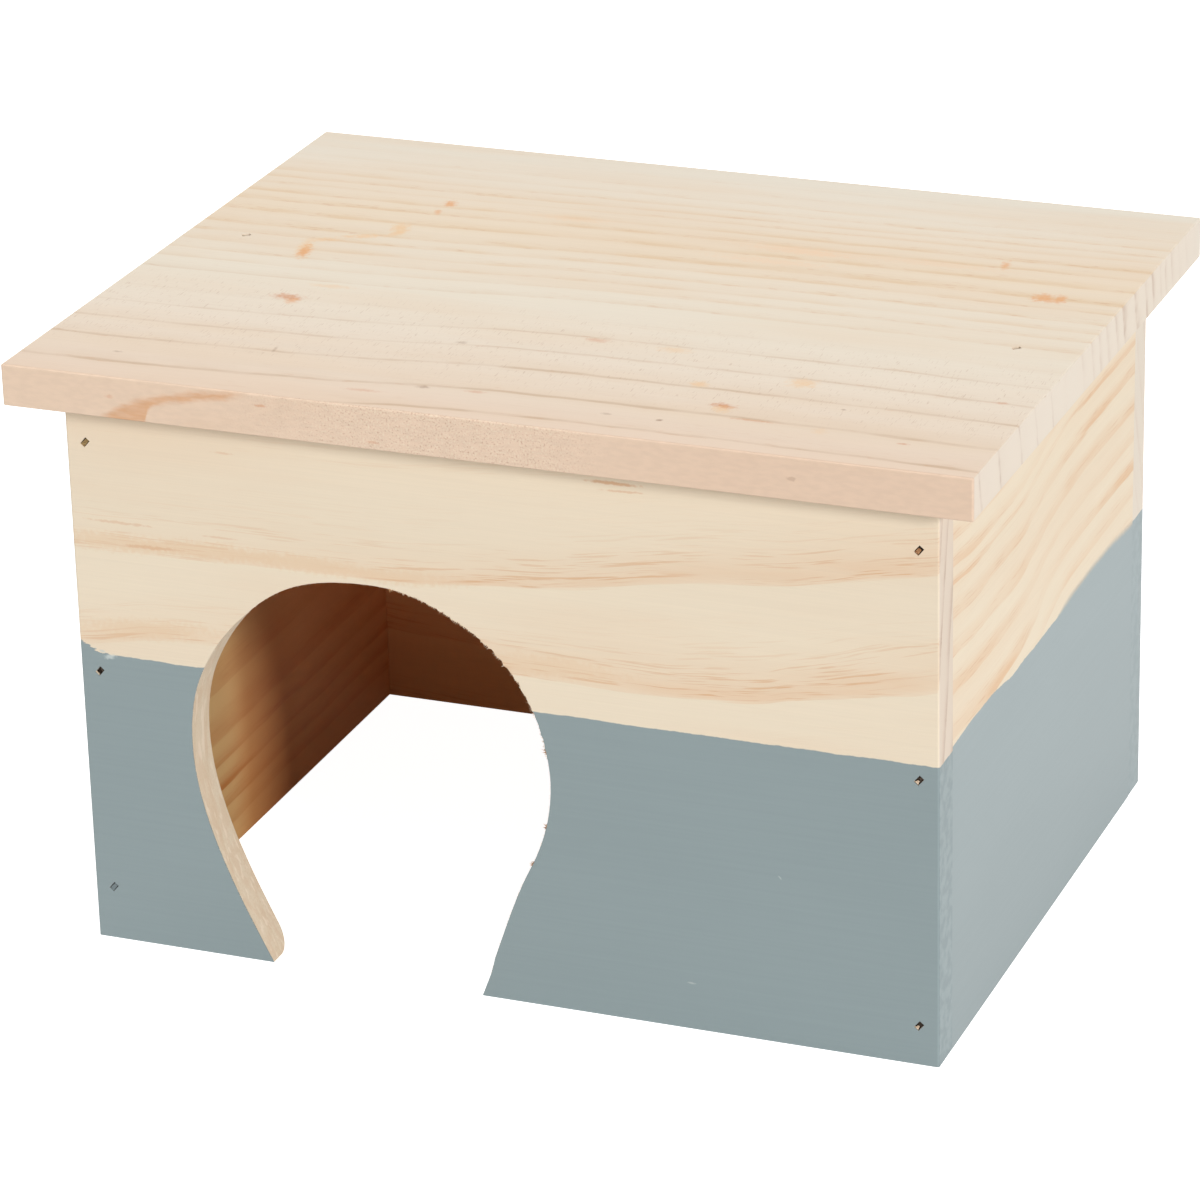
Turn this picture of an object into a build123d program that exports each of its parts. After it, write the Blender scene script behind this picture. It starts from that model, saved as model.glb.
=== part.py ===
from build123d import *
from math import cos, radians, sin
import os

# Small-animal house: four pine wall boards butted into an open-bottomed box,
# a pine roof board that overhangs on every side, and steel wire brads that pin the boards.
# Millimetres. The origin is the centre of the footprint on the floor, +Z is up
# and the wall with the doorway faces -Y.

# Wall boards
house_width = 200.0  # over the side walls, and the length of the front and back boards
house_depth = 154.0  # front face to back face
wall_height = 130.5
wall_thickness = 9.0
wall_edge_round = 0.5  # easing on the upright outer corners

# Roof board
roof_thickness = 9.5
roof_side_overhang = 10.0  # past the side walls
roof_end_overhang = 9.0  # past the front and back walls
roof_edge_round = 0.4  # upper edges and corners, nearly sharp
roof_under_edge_round = 0.3  # lower edges

# Doorway: a round head whose legs draw in to a narrower mouth at the floor
door_offset = -30.6  # door centre line from the middle of the front wall
door_head_radius = 42.7
door_head_height = 52.4  # centre of the round head above the floor
door_mouth_left = 25.9  # centre line to the left jamb at the floor
door_mouth_right = 24.8  # centre line to the right jamb at the floor
door_left_head_end = -10.0  # degrees below level where the head runs out into the left leg, here above it
door_right_head_end = 28.0  # the same at the right leg
door_left_foot_lean = 27.0  # degrees off upright at the floor
door_right_foot_lean = 22.0
door_foot_round = 5.0  # inner lower edge of the front wall, rubbed round

# Wire brads
brad_length = 25.0  # top of the head to the point
brad_shank_width = 1.0
brad_thickness = 1.25
brad_head_width = 2.0
brad_head_height = 0.6
brad_point_length = 2.2
brad_point_width = 0.2
brad_set_depth = 0.7  # the head is driven this far below the face
brad_fit = 0.03  # room between a brad and its bore
brad_lean = 40.0  # degrees that the long side of a head leans from upright

# Brad places: heights as shares of the wall height, depths as shares of the house depth
front_left_height_shares = (0.098, 0.505, 0.922)
front_right_height_shares = (0.071, 0.513, 0.912)
back_height_shares = (0.085, 0.510, 0.915)
roof_left_depth_share = 0.057
roof_right_depth_share = -0.065

# Cuts run this far past the faces that they open
overrun = 2.0

# Sizes that follow from the ones above
inner_width = house_width - 2 * wall_thickness
side_length = house_depth - 2 * wall_thickness
side_centre = (house_width - wall_thickness) / 2
front_inner_face = -side_length / 2
roof_width = house_width + 2 * roof_side_overhang
roof_depth = house_depth + 2 * roof_end_overhang
roof_top = wall_height + roof_thickness

os.makedirs("parts", exist_ok=True)


# One brad, head up along +Z with the top of the head at the origin.
# With a clearance and a rise above the head, the same form is the bore it sits in.
def brad_form(clearance, rise):
    thickness = brad_thickness + 2 * clearance
    shank_width = brad_shank_width + 2 * clearance
    shank_length = brad_length - brad_point_length
    with BuildPart() as form:
        with BuildSketch(Plane.XY.offset(rise)):
            Rectangle(brad_head_width + 2 * clearance, thickness)
        extrude(amount=-(rise + brad_head_height + clearance))
        with BuildSketch():
            Rectangle(shank_width, thickness)
        extrude(amount=-shank_length)
        with BuildSketch(Plane.XY.offset(-shank_length)):
            Rectangle(shank_width, thickness)
        with BuildSketch(Plane.XY.offset(-brad_length - clearance)):
            Rectangle(brad_point_width + 2 * clearance, thickness)
        loft(ruled=True)
    return form.part


# Where a row of brads starts: on an upright face, sunk below it and pointing into the house.
# side is -1 for the left wall and 1 for the right, end is -1 for the front and 1 for the back.
def wall_brad_places(side, end, height_shares):
    head_y = end * (house_depth / 2 - brad_set_depth)
    places = []
    for share in height_shares:
        seat = Plane(
            origin=(side * side_centre, head_y, share * wall_height),
            x_dir=(sin(radians(brad_lean)), 0, cos(radians(brad_lean))),
            z_dir=(0, end, 0),
        )
        places.append(seat.location)
    return places


def roof_brad_place(side, depth_share):
    seat = Plane(
        origin=(side * side_centre, depth_share * house_depth, roof_top - brad_set_depth),
        x_dir=(cos(radians(brad_lean)), sin(radians(brad_lean)), 0),
        z_dir=(0, 0, 1),
    )
    return seat.location


front_left_places = wall_brad_places(-1, -1, front_left_height_shares)
front_right_places = wall_brad_places(1, -1, front_right_height_shares)
back_left_places = wall_brad_places(-1, 1, back_height_shares)
back_right_places = wall_brad_places(1, 1, back_height_shares)
roof_left_places = [roof_brad_place(-1, roof_left_depth_share)]
roof_right_places = [roof_brad_place(1, roof_right_depth_share)]

brad = brad_form(0, 0)
brad_bore = brad_form(brad_fit, brad_set_depth + overrun)


# Front wall: the full width of the house, with the doorway left of the middle
left_foot = (door_offset - door_mouth_left, 0)
right_foot = (door_offset + door_mouth_right, 0)
left_foot_run = (sin(radians(door_left_foot_lean)), -cos(radians(door_left_foot_lean)))
right_foot_run = (sin(radians(door_right_foot_lean)), cos(radians(door_right_foot_lean)))

with BuildPart() as front_wall:
    with BuildSketch(Plane.XZ.offset(house_depth / 2)):
        Rectangle(house_width, wall_height, align=(Align.CENTER, Align.MIN))
        with BuildLine():
            head = CenterArc(
                (door_offset, door_head_height),
                door_head_radius,
                -door_right_head_end,
                180 + door_right_head_end + door_left_head_end,
            )
            Spline(head @ 1, left_foot, tangents=(head % 1, left_foot_run))
            Polyline(
                left_foot,
                (left_foot[0], -overrun),
                (right_foot[0], -overrun),
                right_foot,
            )
            Spline(right_foot, head @ 0, tangents=(right_foot_run, head % 0))
        make_face(mode=Mode.SUBTRACT)
    extrude(amount=-wall_thickness)
    outer_corners = front_wall.edges().filter_by(Axis.Z).group_by(Axis.Y)[0]
    fillet(outer_corners, wall_edge_round)
    # The lower edge inside the house, between the side walls, is rounded
    with BuildSketch(Plane.YZ):
        with Locations((front_inner_face, 0)):
            Rectangle(door_foot_round, door_foot_round, align=(Align.MAX, Align.MIN))
        with Locations((front_inner_face - door_foot_round, door_foot_round)):
            Circle(door_foot_round, mode=Mode.SUBTRACT)
    extrude(amount=inner_width / 2, both=True, mode=Mode.SUBTRACT)
    with Locations(*front_left_places, *front_right_places):
        add(brad_bore, mode=Mode.SUBTRACT)

# Back wall: the same board without a doorway
with BuildPart() as back_wall:
    with BuildSketch(Plane.XZ.offset(-house_depth / 2)):
        Rectangle(house_width, wall_height, align=(Align.CENTER, Align.MIN))
    extrude(amount=wall_thickness)
    outer_corners = back_wall.edges().filter_by(Axis.Z).group_by(Axis.Y)[-1]
    fillet(outer_corners, wall_edge_round)
    with Locations(*back_left_places, *back_right_places):
        add(brad_bore, mode=Mode.SUBTRACT)


# Side walls: butted between the front and back boards, bored at both ends and on top
def side_wall(side, places):
    with BuildPart() as wall:
        with BuildSketch(Plane.YZ.offset(side * side_centre)):
            Rectangle(side_length, wall_height, align=(Align.CENTER, Align.MIN))
        extrude(amount=wall_thickness / 2, both=True)
        with Locations(*places):
            add(brad_bore, mode=Mode.SUBTRACT)
    return wall


left_wall = side_wall(-1, front_left_places + back_left_places + roof_left_places)
right_wall = side_wall(1, front_right_places + back_right_places + roof_right_places)

# Roof board: one flat board with eased edges, pinned down into the side walls
with BuildPart() as roof_board:
    with BuildSketch(Plane.XY.offset(wall_height)):
        Rectangle(roof_width, roof_depth)
    extrude(amount=roof_thickness)
    fillet(roof_board.edges().filter_by(Axis.Z), roof_edge_round)
    fillet(roof_board.edges().group_by(Axis.Z)[-1], roof_edge_round)
    fillet(roof_board.edges().group_by(Axis.Z)[0], roof_under_edge_round)
    with Locations(*roof_left_places, *roof_right_places):
        add(brad_bore, mode=Mode.SUBTRACT)


# Brads: one set for each row that they pin
def brad_set(places):
    with BuildPart() as brads:
        with Locations(*places):
            add(brad)
    return brads


front_left_brads = brad_set(front_left_places)
front_right_brads = brad_set(front_right_places)
back_left_brads = brad_set(back_left_places)
back_right_brads = brad_set(back_right_places)
roof_left_brad = brad_set(roof_left_places)
roof_right_brad = brad_set(roof_right_places)

# Names and files
front_wall.part.label = "front_wall"
back_wall.part.label = "back_wall"
left_wall.part.label = "left_wall"
right_wall.part.label = "right_wall"
roof_board.part.label = "roof_board"
front_left_brads.part.label = "front_left_brads"
front_right_brads.part.label = "front_right_brads"
back_left_brads.part.label = "back_left_brads"
back_right_brads.part.label = "back_right_brads"
roof_left_brad.part.label = "roof_left_brad"
roof_right_brad.part.label = "roof_right_brad"

export_step(front_wall.part, "parts/front_wall.step")
export_step(back_wall.part, "parts/back_wall.step")
export_step(left_wall.part, "parts/left_wall.step")
export_step(right_wall.part, "parts/right_wall.step")
export_step(roof_board.part, "parts/roof_board.step")
export_step(front_left_brads.part, "parts/front_left_brads.step")
export_step(front_right_brads.part, "parts/front_right_brads.step")
export_step(back_left_brads.part, "parts/back_left_brads.step")
export_step(back_right_brads.part, "parts/back_right_brads.step")
export_step(roof_left_brad.part, "parts/roof_left_brad.step")
export_step(roof_right_brad.part, "parts/roof_right_brad.step")
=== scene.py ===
import bmesh
import bpy
import math
from mathutils import Color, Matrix, Quaternion, Vector, noise


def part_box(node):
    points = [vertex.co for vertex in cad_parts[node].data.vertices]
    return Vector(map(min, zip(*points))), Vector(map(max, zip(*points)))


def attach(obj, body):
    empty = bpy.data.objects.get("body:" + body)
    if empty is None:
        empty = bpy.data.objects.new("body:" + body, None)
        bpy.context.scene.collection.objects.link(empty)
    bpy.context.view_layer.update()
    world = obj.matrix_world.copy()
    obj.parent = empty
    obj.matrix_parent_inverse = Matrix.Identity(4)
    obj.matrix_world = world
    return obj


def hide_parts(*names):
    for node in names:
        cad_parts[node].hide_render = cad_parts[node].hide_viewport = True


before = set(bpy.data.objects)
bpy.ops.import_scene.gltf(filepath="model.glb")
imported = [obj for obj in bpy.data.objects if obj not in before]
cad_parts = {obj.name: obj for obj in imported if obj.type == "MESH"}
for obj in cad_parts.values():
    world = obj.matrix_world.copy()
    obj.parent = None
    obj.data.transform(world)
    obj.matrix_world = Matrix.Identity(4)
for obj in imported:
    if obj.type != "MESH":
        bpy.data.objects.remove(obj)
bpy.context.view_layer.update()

mm = 0.001  # the frame is in metres, the sizes below are in millimetres
mergeReach = 0.001 * mm  # points closer than this become one
closeBy = 0.01 * mm  # a point this close to a face lies on it

# Sizes of the house, from the frame
frontLow, frontHigh = [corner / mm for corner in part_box("front_wall")]
rightLow, rightHigh = [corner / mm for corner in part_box("right_wall")]
roofLow, roofHigh = [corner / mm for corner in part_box("roof_board")]
wallReach = (frontLow.x, frontHigh.x)
sideReach = (rightLow.y, rightHigh.y)
outerHalf = {"X": frontHigh.x, "Y": -frontLow.y}  # outer faces, from the middle of the house
innerHalf = {"X": rightLow.x, "Y": rightHigh.y}
doorCentre = (-30.6, 52.4)  # middle of the doorway's round head, across and up
doorReach = 89.0  # the doorway lies within this of the middle, and the brads beyond it


# Node helpers: inputs are sockets to link or plain values to set
def isSocket(value):
    return isinstance(value, bpy.types.NodeSocket)


def setInputs(node, inputs):
    for name, value in inputs.items():
        if isSocket(value):
            node.id_data.links.new(value, node.inputs[name])
        else:
            node.inputs[name].default_value = value


# A node goes into the tree of the sockets that it is linked to, unless a tree is given
def addNode(kind, inputs=None, tree=None, **settings):
    inputs = inputs or {}
    tree = tree or next(value.id_data for value in inputs.values() if isSocket(value))
    node = tree.nodes.new(kind)
    for name, value in settings.items():
        setattr(node, name, value)
    setInputs(node, inputs)
    return node


def calc(operation, *values):
    return addNode("ShaderNodeMath", dict(enumerate(values)), operation=operation).outputs[0]


def inTurn(operation, values):
    total = values[0]
    for value in values[1:]:
        total = calc(operation, total, value)
    return total


def addUp(*values):
    return inTurn("ADD", values)


def product(*values):
    return inTurn("MULTIPLY", values)


def minus(first, second):
    return calc("SUBTRACT", first, second)


# Share of the way from low to high, eased at both ends unless straight
def rise(value, low, high, straight=False):
    node = addNode(
        "ShaderNodeMapRange", {"Value": value, "From Min": low, "From Max": high},
        interpolation_type="LINEAR" if straight else "SMOOTHSTEP",
    )
    return node.outputs["Result"]


def rescale(value, low, high):
    node = addNode("ShaderNodeMapRange", {"Value": value, "To Min": low, "To Max": high})
    return node.outputs["Result"]


def mixValue(share, first, second):
    return addNode("ShaderNodeMix", {0: share, 2: first, 3: second}).outputs[0]


def mixColour(share, first, second, mode="MIX"):
    inputs = {0: share, 6: first, 7: second}  # 6, 7 and output 2 are the colour sockets
    return addNode("ShaderNodeMix", inputs, data_type="RGBA", blend_type=mode).outputs[2]


def tinted(colour, tint, share=1.0):
    return mixColour(share, colour, tint, mode="MULTIPLY")


def vectorMath(operation, *values):
    node = addNode("ShaderNodeVectorMath", dict(enumerate(values)), operation=operation)
    return node.outputs["Value" if operation == "LENGTH" else "Vector"]


def enlarged(vector, factor):
    inputs = {0: vector, "Scale": factor}
    return addNode("ShaderNodeVectorMath", inputs, operation="SCALE").outputs[0]


def combine(*parts):
    return addNode("ShaderNodeCombineXYZ", dict(enumerate(parts))).outputs[0]


def separate(vector):
    return addNode("ShaderNodeSeparateXYZ", {0: vector}).outputs


# How far a face looks along an axis, either way
def facing(spot, axis):
    normal = addNode("ShaderNodeNewGeometry", tree=spot["tree"]).outputs["Normal"]
    return calc("ABSOLUTE", separate(normal)[axis])


# Float curve through given points, both axes 0 to 1
def curveOf(value, points, straight=False):
    node = addNode("ShaderNodeFloatCurve", {"Value": value})
    curve = node.mapping.curves[0]
    curve.points[0].location = points[0]
    curve.points[1].location = points[-1]
    for place in points[1:-1]:
        curve.points.new(*place)
    for point in curve.points:
        point.handle_type = "VECTOR" if straight else "AUTO_CLAMPED"
    node.mapping.update()
    return node.outputs["Value"]


# The same for heights in millimetres
def pathOf(share, points):
    heights = [height for place, height in points]
    low, high = min(heights), max(heights)
    shares = [(place, (height - low) / (high - low)) for place, height in points]
    return rescale(curveOf(share, shares), low, high)


seedStep = (7.3, 3.1, 5.7)  # how far apart the noise of two seeds lies
noiseGain = 4.0  # noise keeps within about a quarter of its middle
evenLimits = (0.35, 0.65)  # limits that share noise out evenly
softLimits = (0.3, 0.7)  # the same with a softer change


# Noise drawn out along the grain: length along the board, width across and through it
def streak(point, length, width, seed, detail=2.0):
    stretch = (1 / length, 1 / width, 1 / width)
    moved = vectorMath("MULTIPLY_ADD", point, stretch, [seed * step for step in seedStep])
    cloud = addNode("ShaderNodeTexNoise", {"Vector": moved, "Scale": 1.0, "Detail": detail})
    return cloud.outputs["Fac"]


# The same noise as patches, none below the first limit and full above the second
def patches(point, size, seed, limits, detail=2.0):
    return rise(streak(point, *size, seed, detail), *limits)


# The same noise as a swing of so many millimetres to either side
def sway(point, length, width, seed, reach):
    centred = minus(streak(point, length, width, seed), 0.5)
    return product(centred, reach * noiseGain)


# A colour as it is seen on screen, 0 to 255
def seen(red, green, blue):
    shown = Color((red / 255, green / 255, blue / 255))
    return (*shown.from_srgb_to_scene_linear(), 1.0)


def freshMaterial(name):
    material = bpy.data.materials.new(name)
    material.use_nodes = True
    tree = material.node_tree
    return material, tree, tree.nodes["Principled BSDF"]


def bumpOf(height, relief):
    inputs = {"Strength": 1.0, "Distance": relief * mm, "Height": height}
    return addNode("ShaderNodeBump", inputs).outputs[0]


def addObject(name, data):
    item = bpy.data.objects.new(name, data)
    bpy.context.scene.collection.objects.link(item)
    return item


# The plain mesh that an object's modifiers give
def settledMesh(item):
    graph = bpy.context.evaluated_depsgraph_get()
    return bpy.data.meshes.new_from_object(item.evaluated_get(graph))


# Pine: what the five boards share. A size of noise is along and across the grain.
pine = {
    "cream": seen(236, 221, 197),
    "cloud": seen(231, 206, 178),
    "cloudSize": (90.0, 14.0),
    "cloudLimits": (0.4, 0.7),
    "cloudShare": 0.3,
    "hairFade": 0.11,
    "hairSpread": 0.65,  # under 1 the hairlines reach into paler wood
    "clusterSize": (50.0, 2.5),
    "clusterLimits": (0.38, 0.55),
    "fibreSize": (30.0, 0.35),
    "fibreDetail": 3.0,
    "fibreLimits": (0.25, 0.75),
    "fibreTint": (0.98, 1.015),
    "endGrain": seen(230, 218, 203),
    "endLine": seen(186, 162, 146),
    "endFacing": (0.6, 0.9),
    "endShare": 0.85,  # how much of a sawn end's own colour shows
    "endFineness": 1.3,  # over 1 the ring lines get thinner there
    "innerTone": (0.69, 0.508, 0.276, 1.0),  # painted shade of the faces inside the house, honey brown
    # painted shade, redder and darker deeper in the house
    "deepTone": (1.0, 0.56, 0.3, 1.0),
    "deepFrom": (-34.0, 10.0),
    "shadeTone": (0.8, 0.68, 0.58, 1.0),  # painted shade of the light's soft edge, between the two, low on the walls
    "shadeFrom": (-24.0, -12.0),
    "shadeTo": (20.0, 0.0),
    "shadeBelow": (70.0, 30.0),
    # painted shade and painted bounce light by height inside: darker at the floor, lighter higher up
    "floorReach": (2.0, 45.0),
    "floorShadeTone": (0.95, 1.12),
    "innerSkin": 0.6,  # mm that the painted inside shade wraps over an edge
    "innerFade": (0.4, 0.1),  # mm past the inner corners
    "sheen": 0.5,
    "innerSheen": (0.08, 0.45),  # dull at the floor
    "roughness": (0.72, 0.64),  # pale and dark wood
    "relief": 0.035,  # mm, height of the raised grain
    "lateHeight": 0.4,
    "fibreHeight": 0.6,
}

# Blue-grey paint on the lower half of the walls
paint = {
    "pale": seen(140, 154, 156),
    "deep": seen(137, 151, 153),
    "endTone": seen(126, 140, 142),  # where a sawn end drinks it in
    "roughness": 0.42,
    "endRoughness": 0.5,
    "shine": 0.42,
    "skin": 0.2,  # mm that it wraps over an edge
    "softness": 0.25,  # mm over which its upper line fades
    "waveSize": (14.0, 14.0),  # the upper line's own wander, coarse and fine
    "wave": 0.25,
    "rippleSize": (1.6, 1.6),
    "ripple": 0.1,
    "jagSize": (1.7, 0.6),
    "brushSize": (45.0, 0.8),
    "brushDetail": 3.0,
    "brushHeight": 0.25,
    "height": 1.0,  # beside the wood's relief
    "cloudSize": (60.0, 30.0),
    "smudgeSize": (1.2, 2.5),
    # heights over which the paint's painted light and shade change
    "heightShadeReach": (0.0, 60.0),
}


# A point in millimetres: along, across and through the board, by axis name, and as vectors
def boardPoint(tree, axes):
    place = addNode("ShaderNodeTexCoord", tree=tree).outputs["Object"]
    spot = {"tree": tree, "place": enlarged(place, 1 / mm)}
    parts = separate(spot["place"])
    for axis in "XYZ":
        spot[axis] = parts[axis]
    spot["along"], spot["across"], spot["through"] = [spot[axis] for axis in axes]
    spot["grain"] = combine(spot["along"], spot["across"], spot["through"])
    return spot


# Growth rings as a solid field, so that faces, edges and sawn ends agree.
# Gives how far into the dark late wood a point lies, how soft the rings are there, and the point
# as it lies along the rings.
def ringField(grain, spot):
    alongShare = rise(spot["along"], *grain["reach"], straight=True)
    farShare = rise(spot["across"], *grain["driftBetween"], straight=True)
    nearDrift = pathOf(alongShare, grain["drift"])
    drift = mixValue(farShare, nearDrift, pathOf(alongShare, grain["farDrift"]))
    straight = minus(spot["across"], drift)
    flow = combine(spot["along"], straight, spot["through"])
    depth = minus(spot["through"], grain["face"])
    fray = sway(flow, *grain["fray"])
    fray = product(fray, rescale(alongShare, grain["frayStart"], 1.0))
    place = minus(straight, product(depth, grain["lean"]))
    place = addUp(place, sway(spot["grain"], *grain["wander"]), fray)
    # rings become even steps, so that a step's fraction is the share of the way through its ring
    edges = [edge for edge, strength in grain["rings"]]
    strengths = [strength for edge, strength in grain["rings"]]
    count = len(edges) - 1
    low, high = edges[0], edges[-1]
    ladder = [((edge - low) / (high - low), step / count) for step, edge in enumerate(edges)]
    phase = curveOf(rise(place, low, high, straight=True), ladder, straight=True)
    phase = product(phase, count)
    ringShare = calc("FRACT", phase)
    late = curveOf(ringShare, grain["profile"])
    soft = 0.0
    if "softProfile" in grain:
        acrossShare = rise(spot["across"], *grain["span"], straight=True)
        soft = curveOf(acrossShare, grain["softCurve"])
        late = mixValue(soft, late, curveOf(ringShare, grain["softProfile"]))
    middle = addUp(calc("FLOOR", phase), 0.5)
    steps = [((step + 0.5) / count, strengths[step]) for step in range(count)]
    strength = curveOf(calc("DIVIDE", middle, count), steps, straight=True)
    patch = rise(streak(spot["grain"], *grain["patch"]), *evenLimits)
    late = product(late, strength, rescale(patch, grain["faintest"], 1.0))
    if "fade" in grain:
        late = product(late, curveOf(alongShare, grain["fade"]))
    return late, soft, flow


# Share of a point on a sawn end, from the way its face looks
def endMask(spot, axes):
    return rise(facing(spot, axes[0]), *pine["endFacing"])


# Share of a point on a face that looks into the house
def innerShare(inner, spot):
    axis, level, side = inner["face"]
    reach = product(spot[axis], side)
    share = rise(reach, level * side - pine["innerSkin"], level * side)
    for limitAxis in inner["within"]:
        out = calc("ABSOLUTE", spot[limitAxis])
        gone, full = [innerHalf[limitAxis] + past for past in pine["innerFade"]]
        share = product(share, rise(out, gone, full))
    return share


# The board's own tones, from one side of it to the other
def zoneColour(grain, spot):
    share = rise(spot["across"], *grain["span"], straight=True)
    zone = addNode("ShaderNodeValToRGB", {0: share})
    ramp = zone.color_ramp
    ramp.elements[0].position, ramp.elements[0].color = grain["zones"][0]
    ramp.elements[1].position, ramp.elements[1].color = grain["zones"][-1]
    for position, tone in grain["zones"][1:-1]:
        ramp.elements.new(position).color = tone
    return zone.outputs[0]


# Painted shade inside the house: the wood is tinted honey brown, redder and darker away from the
# doorway, darker at the floor and lighter higher up
def shadedInside(colour, spot):
    inward = rise(spot["Y"], *pine["deepFrom"])
    tone = mixColour(inward, pine["innerTone"], pine["deepTone"])
    shade = product(
        rise(spot["Y"], *pine["shadeFrom"]), rise(spot["Y"], *pine["shadeTo"]),
        rise(spot["Z"], *pine["shadeBelow"]),
    )
    honey = tinted(colour, tinted(tone, pine["shadeTone"], shade))
    paintedShade = rescale(rise(spot["Z"], *pine["floorReach"]), *pine["floorShadeTone"])
    return tinted(honey, mixValue(inward, 1.0, paintedShade))


# Gives the bare wood's colour, the height of its raised grain, its late wood and the share
# inside the house
def bareWood(grain, spot):
    late, soft, flow = ringField(grain, spot)
    inside = innerShare(grain["inner"], spot)
    colour = zoneColour(grain, spot) if "zones" in grain else pine["cream"]
    cloud = patches(spot["grain"], pine["cloudSize"], grain["seed"] + 1, pine["cloudLimits"])
    colour = mixColour(product(cloud, pine["cloudShare"]), colour, pine["cloud"])
    lateColour = grain["lateColour"]
    if "softColour" in grain:
        lateColour = mixColour(soft, lateColour, grain["softColour"])
    if "innerLate" in grain:
        lateColour = mixColour(inside, lateColour, grain["innerLate"])
    colour = mixColour(product(late, grain["contrast"]), colour, lateColour)
    # short hairlines of resin canals, thickest in the dark wood
    hairFrom = grain["hairFrom"]
    hair = rise(streak(flow, *grain["hair"]), hairFrom, hairFrom + pine["hairFade"])
    cluster = patches(flow, pine["clusterSize"], grain["seed"] + 5, pine["clusterLimits"])
    gathered = calc("POWER", late, pine["hairSpread"])
    hairShare = product(hair, cluster, gathered, grain["hairShade"])
    colour = mixColour(hairShare, colour, grain["dash"])
    fibre = streak(spot["grain"], *pine["fibreSize"], grain["seed"] + 2, pine["fibreDetail"])
    fibreShare = rise(fibre, *pine["fibreLimits"], straight=True)
    colour = tinted(colour, rescale(fibreShare, *pine["fibreTint"]))
    raised = product(fibre, pine["fibreHeight"])
    height = addUp(product(late, pine["lateHeight"]), raised)
    # sawn ends are paler and greyer, with thin ring lines
    end = product(endMask(spot, grain["axes"]), pine["endShare"])
    line = product(calc("POWER", late, pine["endFineness"]), grain["endShade"])
    sawn = mixColour(line, grain.get("endGrain", pine["endGrain"]), pine["endLine"])
    colour = mixColour(end, colour, sawn)
    # painted shade on the faces inside the house
    colour = mixColour(inside, colour, shadedInside(colour, spot))
    return colour, height, late, inside


# Small marks on a board
blot = {
    "waveScale": 0.9,
    "waveDetail": 3.0,
    "wave": 0.8,  # how far noise shoves the outline, in half sizes
    "reach": 1.2,  # half sizes from the middle to where a mark is gone
}


# Marks on one face of a board, from rows of two places on it, half length, half width, turn in
# degrees, depth and colour. A mark is full as far out as its core.
def marksOn(axis, level, through, rows, core=0.4):
    marks = []
    for first, second, halfLong, halfWide, turn, depth, colour in rows:
        at, half, turns = [first, second], [halfLong, halfWide], [0, 0]
        for values, own in ((at, level), (half, through), (turns, math.radians(turn))):
            values.insert("XYZ".index(axis), own)
        marks.append({
            "at": at, "half": half, "turns": turns, "depth": depth, "colour": colour, "core": core,
        })
    return marks


def addMarks(colour, spot, marks):
    inputs = {"Vector": spot["place"], "Scale": blot["waveScale"], "Detail": blot["waveDetail"]}
    wave = addNode("ShaderNodeTexNoise", inputs).outputs["Color"]
    shove = vectorMath("MULTIPLY_ADD", wave, [2 * blot["wave"]] * 3, [-blot["wave"]] * 3)
    for mark in marks:
        inputs = {
            "Vector": spot["place"], "Location": mark["at"], "Rotation": mark["turns"],
            "Scale": mark["half"],
        }
        local = addNode("ShaderNodeMapping", inputs, vector_type="TEXTURE")
        far = vectorMath("LENGTH", vectorMath("ADD", local.outputs[0], shove))
        share = product(rise(far, blot["reach"], mark["core"]), mark["depth"])
        colour = mixColour(share, colour, mark["colour"])
    return colour


# Paint below a slightly wandering line, on the outer faces alone
def paintMask(coat, spot):
    outer = []
    for axis, side in coat["faces"]:
        reach = product(spot[axis], side)
        outer.append(calc("GREATER_THAN", reach, outerHalf[axis] - paint["skin"]))
    mask = inTurn("MAXIMUM", outer)
    run = rise(spot[coat["along"]], *coat["reach"], straight=True)
    line = addUp(
        pathOf(run, coat["line"]),
        sway(spot["grain"], *paint["waveSize"], coat["seed"], paint["wave"]),
        sway(spot["grain"], *paint["rippleSize"], coat["seed"] + 1, paint["ripple"]),
    )
    if "jag" in coat:
        jag = sway(spot["grain"], *paint["jagSize"], coat["seed"] + 4, coat["jag"]["reach"])
        here = rise(spot[coat["along"]], *coat["jag"]["between"])
        line = addUp(line, product(jag, here))
    below = minus(line, spot["Z"])
    softness = paint["softness"]
    if "thin" in coat:
        thin = rise(run, *coat["thin"]["between"])
        softness = rescale(thin, softness, coat["thin"]["softness"])
    return product(mask, rise(calc("DIVIDE", below, softness), -0.5, 0.5))


# Gives the colour, roughness, sheen and height of the wood with its paint
def painted(coat, axes, spot, wood):
    colour, roughness, sheen, height = wood
    mask = paintMask(coat, spot)
    brush = streak(spot["grain"], *paint["brushSize"], coat["seed"] + 2, paint["brushDetail"])
    cloud = streak(spot["grain"], *paint["cloudSize"], coat["seed"] + 3)
    tone = addUp(product(brush, 0.5), product(cloud, 0.5))
    coatColour = mixColour(rise(tone, *softLimits), paint["deep"], paint["pale"])
    smudge = patches(spot["place"], paint["smudgeSize"], coat["seed"] + 5, evenLimits)
    drunk = product(endMask(spot, axes), rescale(smudge, *coat["drinks"]))
    coatColour = mixColour(drunk, coatColour, paint["endTone"])
    # painted light and shade: the paint's brightness changes with height
    level = rise(spot["Z"], *paint["heightShadeReach"], straight=True)
    coatColour = tinted(coatColour, rescale(level, *coat["heightShade"]))
    satin = mixValue(drunk, paint["roughness"], paint["endRoughness"])
    coatHeight = addUp(product(brush, paint["brushHeight"]), paint["height"])
    return (
        mixColour(mask, colour, coatColour), mixValue(mask, roughness, satin),
        mixValue(mask, sheen, paint["shine"]), mixValue(mask, height, coatHeight),
    )


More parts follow.
